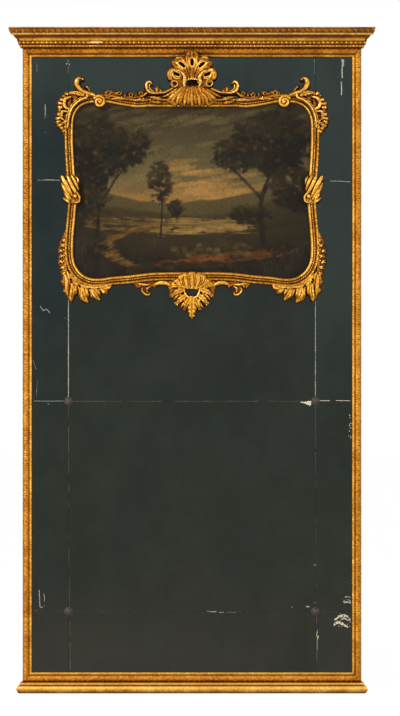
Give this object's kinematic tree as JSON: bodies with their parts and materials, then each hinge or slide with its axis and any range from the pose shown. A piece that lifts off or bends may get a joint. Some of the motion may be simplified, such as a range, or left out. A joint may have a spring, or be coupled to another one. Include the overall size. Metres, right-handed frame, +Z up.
{
  "type": "overmantel mirror",
  "caption": "Tall giltwood overmantel mirror in the rococo taste, with old divided plates, a landscape canvas in a carved cartouche frame, a leaf-carved cornice and a moulded base",
  "frame": {"origin": "centre line of the piece, on the wall plane and on the shelf plane under the base", "axes": "+X to the right seen from the front, -Y out of the wall towards the room, +Z up"},
  "size_m": [1.28, 0.099, 2.327],
  "materials": {
    "pine": "planed pine, darkened with age",
    "old_pine": "rough-sawn pine boards, dusty",
    "gilding": "carved wood, water gilt over red-brown bole, worn",
    "burnished_gilding": "carved wood, burnished water gilding",
    "mirror_glass": "old tin-backed plate, dark, with silver loss",
    "boss_wood": "turned, dark red-brown polish",
    "painted_canvas": "oil on linen, old varnish",
    "brass": "cast brass, dull",
    "iron": "forged iron, oxidised"
  },
  "bodies": {
    "overmantel": {"stile_left": "pine", "stile_right": "pine", "top_rail": "pine", "bottom_rail": "pine", "muntin_left": "pine", "muntin_right": "pine", "cross_rails": "pine", "side_backboards": "old_pine", "upper_backboard": "old_pine", "lower_backboards": "old_pine", "access_board": "old_pine", "spacer_blocks": "pine", "short_screws": "brass", "long_screws": "iron", "keyhole_plates": "brass", "border_left": "gilding", "border_right": "gilding", "border_top": "gilding", "border_bottom": "gilding", "cornice_front": "gilding", "cornice_returns": "gilding", "cornice_cover_board": "old_pine", "base_front": "burnished_gilding", "base_returns": "burnished_gilding", "plate_left_1": "mirror_glass", "plate_left_2": "mirror_glass", "plate_left_3": "mirror_glass", "plate_left_4": "mirror_glass", "plate_centre_1": "mirror_glass", "plate_centre_2": "mirror_glass", "plate_centre_3": "mirror_glass", "plate_centre_4": "mirror_glass", "plate_right_1": "mirror_glass", "plate_right_2": "mirror_glass", "plate_right_3": "mirror_glass", "plate_right_4": "mirror_glass", "glazing_slips": "pine", "plate_bosses": "boss_wood", "cartouche_top_rail": "gilding", "cartouche_bottom_rail": "gilding", "cartouche_left_rail": "gilding", "cartouche_right_rail": "gilding", "shell_crest": "burnished_gilding", "acanthus_skirt": "burnished_gilding", "pendant": "burnished_gilding", "top_corner_left": "gilding", "top_corner_right": "gilding", "crest_garlands": "gilding", "side_clasps": "gilding", "side_trails": "gilding", "corner_spray_left": "burnished_gilding", "corner_spray_right": "burnished_gilding", "canvas": "painted_canvas", "stretcher_bars": "pine", "stretcher_keys": "old_pine", "canvas_tacks": "iron"},
    "button_a": {"turn_button_a": "brass"},
    "button_b": {"turn_button_b": "brass"},
    "button_c": {"turn_button_c": "brass"},
    "button_d": {"turn_button_d": "brass"}
  },
  "joints": [
    {"name": "turn_a", "type": "hinge", "parent": "overmantel", "child": "button_a", "pos_m": [-0.4555, -0.0052, 1.959], "axis": [0, 1, 0], "continuous": true},
    {"name": "turn_b", "type": "hinge", "parent": "overmantel", "child": "button_b", "pos_m": [0.4555, -0.0052, 1.959], "axis": [0, 1, 0], "continuous": true},
    {"name": "turn_c", "type": "hinge", "parent": "overmantel", "child": "button_c", "pos_m": [-0.4555, -0.0052, 1.559], "axis": [0, 1, 0], "continuous": true},
    {"name": "turn_d", "type": "hinge", "parent": "overmantel", "child": "button_d", "pos_m": [0.4555, -0.0052, 1.559], "axis": [0, 1, 0], "continuous": true}
  ]
}
